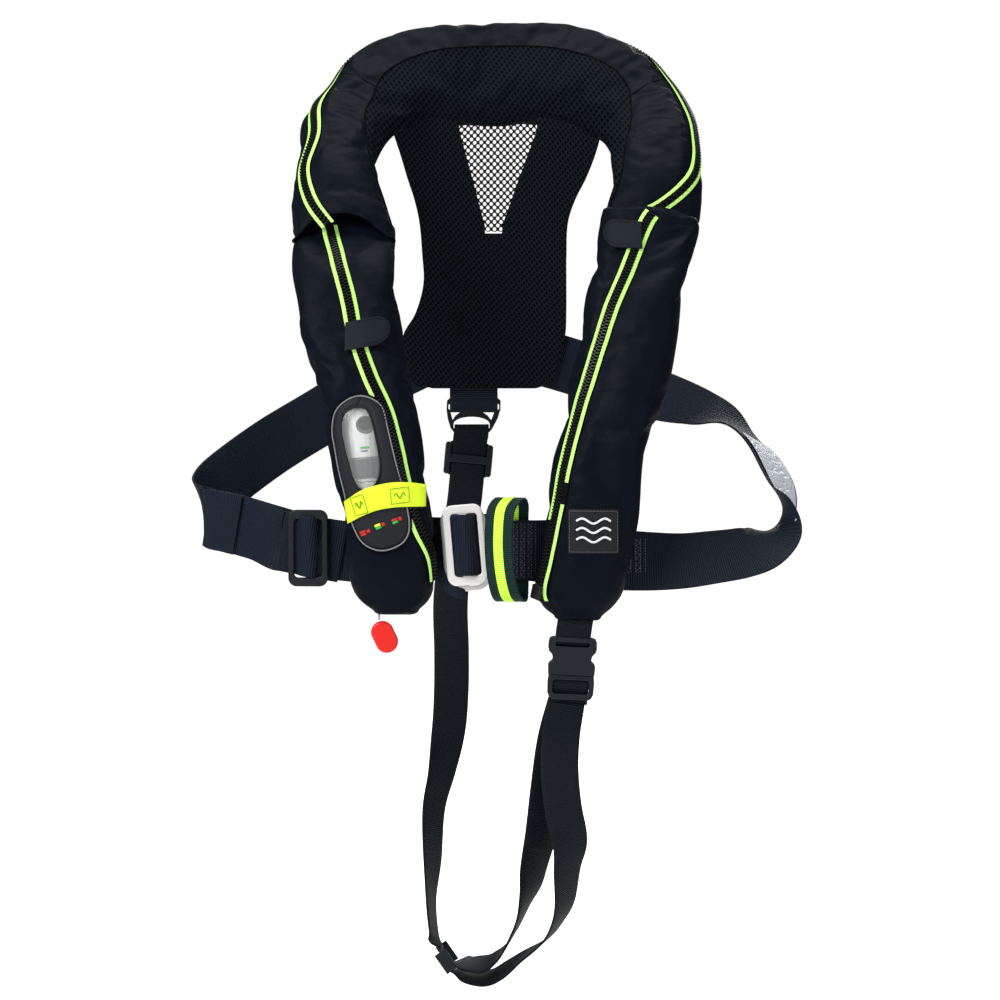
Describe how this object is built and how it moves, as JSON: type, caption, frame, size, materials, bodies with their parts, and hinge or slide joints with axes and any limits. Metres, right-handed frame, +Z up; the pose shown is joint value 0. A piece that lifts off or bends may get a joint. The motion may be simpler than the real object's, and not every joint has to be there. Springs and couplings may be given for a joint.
{
  "type": "inflatable life jacket",
  "caption": "Inflatable sailing life jacket: padded zipped collar and arms, mesh yoke, waist belt with steel buckle, and a crotch strap.",
  "frame": {"origin": "inner edge of the collar at the nape, where the jacket rests on the neck", "axes": "+Z up, the front of the jacket faces -Y, +X to the right as seen from the front"},
  "size_m": [0.502, 0.2891, 0.8324],
  "materials": {
    "nylon": "woven matt nylon",
    "spacer_mesh": "padded open mesh",
    "net": "see-through net",
    "webbing": "ribbed polyester webbing",
    "loop_webbing": "ribbed webbing with a neon centre stripe",
    "zip_tape": "neon zip tape with black moulded teeth",
    "yellow_band": "coated neon yellow",
    "reflective": "silver reflective",
    "piping": "grey reflective edging",
    "window": "clear flexible vinyl",
    "patch": "matt black",
    "bladder": "coated yellow",
    "white_plastic": "satin white",
    "steel": "brushed stainless",
    "cylinder_paint": "grey satin paint",
    "plastic": "charcoal moulding",
    "grey_plastic": "dark grey moulding",
    "red_plastic": "glossy red",
    "cord": "clear nylon cord"
  },
  "bodies": {
    "jacket": {"collar_border": "nylon", "collar_back": "nylon", "left_inner_panel": "nylon", "left_outer_panel": "nylon", "right_inner_panel": "nylon", "right_outer_panel": "nylon", "collar_lining": "spacer_mesh", "yoke_panel": "spacer_mesh", "yoke_net": "net", "left_belt": "webbing", "right_belt": "webbing", "belt_tail": "webbing", "plate_webbing": "webbing", "ring_webbing": "webbing", "rear_stub": "webbing", "rear_strap": "webbing", "strap_stub": "webbing", "belt_keeper": "webbing", "collar_zip": "zip_tape", "left_zip": "zip_tape", "right_zip": "zip_tape", "status_band": "yellow_band", "whistle": "yellow_band", "reflective_tape": "reflective", "window_piping": "piping", "clear_window": "window", "arm_patch": "patch", "collar_bladder": "bladder", "left_bladder": "bladder", "right_bladder": "bladder", "inflator_body": "white_plastic", "buckle_ring": "steel", "lever_pin": "steel", "waist_slider": "plastic", "rear_reducer": "plastic", "crotch_adjuster": "plastic", "buckle_socket": "plastic", "oral_tube": "plastic", "warning_ring": "grey_plastic"},
    "cylinder": {"gas_cylinder": "cylinder_paint"},
    "sensor": {"sensor_cap": "white_plastic"},
    "toggle": {"lanyard": "cord", "pull_toggle": "red_plastic"},
    "lever": {"firing_lever": "red_plastic"},
    "zip_pull": {"zip_slider": "plastic"},
    "left_tab": {"left_zip_tab": "nylon"},
    "right_tab": {"right_zip_tab": "nylon"},
    "tube_cap": {"oral_tube_cap": "plastic"},
    "waist_plate": {"buckle_plate": "steel"},
    "tether_loop": {"soft_loop": "loop_webbing"},
    "strap_length_slider": {"rear_slider": "plastic"},
    "strap_plug": {"buckle_plug": "plastic", "inner_strand": "webbing", "outer_strand": "webbing"},
    "latch_a": {"left_latch": "plastic"},
    "latch_b": {"right_latch": "plastic"}
  },
  "joints": [
    {"name": "cylinder_thread", "type": "hinge", "parent": "jacket", "child": "cylinder", "pos_m": [-0.1126, -0.201, -0.24], "axis": [-0.1069, 0.3845, 0.9169], "continuous": true},
    {"name": "sensor_bayonet", "type": "hinge", "parent": "jacket", "child": "sensor", "pos_m": [-0.1066, -0.2057, -0.304], "axis": [-0.0913, 0.0753, 0.993], "range_deg": [0, 90]},
    {"name": "toggle_pull", "type": "slide", "parent": "jacket", "child": "toggle", "axis": [0, 0, -1], "range_m": [0, 0.028]},
    {"name": "lever_turn", "type": "hinge", "parent": "jacket", "child": "lever", "pos_m": [-0.0845, -0.206, -0.316], "axis": [0, 1, 0], "range_deg": [0, 100]},
    {"name": "zip_travel", "type": "slide", "parent": "jacket", "child": "zip_pull", "axis": [0.19, -0.15, 0.9702], "range_m": [0, 0.04]},
    {"name": "left_tab_lift", "type": "hinge", "parent": "jacket", "child": "left_tab", "pos_m": [-0.12, -0.2047, -0.1814], "axis": [0, -0.3697, -0.9292], "range_deg": [0, 110]},
    {"name": "right_tab_lift", "type": "hinge", "parent": "jacket", "child": "right_tab", "pos_m": [0.1203, -0.1581, -0.1003], "axis": [-0.0199, 0.5774, 0.8163], "range_deg": [0, 110]},
    {"name": "cap_lift", "type": "slide", "parent": "jacket", "child": "tube_cap", "axis": [0.1799, 0.4198, 0.8896], "range_m": [0, 0.012]},
    {"name": "plate_tilt", "type": "hinge", "parent": "jacket", "child": "waist_plate", "pos_m": [-0.0266, -0.206, -0.355], "axis": [0.0872, 0, -0.9962], "range_deg": [0, 12]},
    {"name": "loop_swivel", "type": "hinge", "parent": "jacket", "child": "tether_loop", "pos_m": [0.013, -0.195, -0.36], "axis": [0, 0, 1], "range_deg": [-7, 7]},
    {"name": "slider_travel", "type": "slide", "parent": "jacket", "child": "strap_length_slider", "axis": [0.0906, 0, 0.9959], "range_m": [-0.018, 0.004]},
    {"name": "plug_release", "type": "slide", "parent": "jacket", "child": "strap_plug", "axis": [-0.0523, 0, -0.9986], "range_m": [0, 0.03]},
    {"name": "latch_a_flex", "type": "hinge", "parent": "strap_plug", "child": "latch_a", "pos_m": [0.05107, -0.197, -0.46132], "axis": [0, 1, 0], "range_deg": [0, 7], "stiffness_Nm_per_rad": 0.05},
    {"name": "latch_b_flex", "type": "hinge", "parent": "strap_plug", "child": "latch_b", "pos_m": [0.06955, -0.197, -0.46228], "axis": [0, 1, 0], "range_deg": [-7, 0], "stiffness_Nm_per_rad": 0.05}
  ],
  "couplings": [
    {"joint": "lever_turn", "follows": "toggle_pull", "rad_per_m": 62.3},
    {"joint": "latch_b_flex", "follows": "latch_a_flex", "ratio": -1}
  ]
}
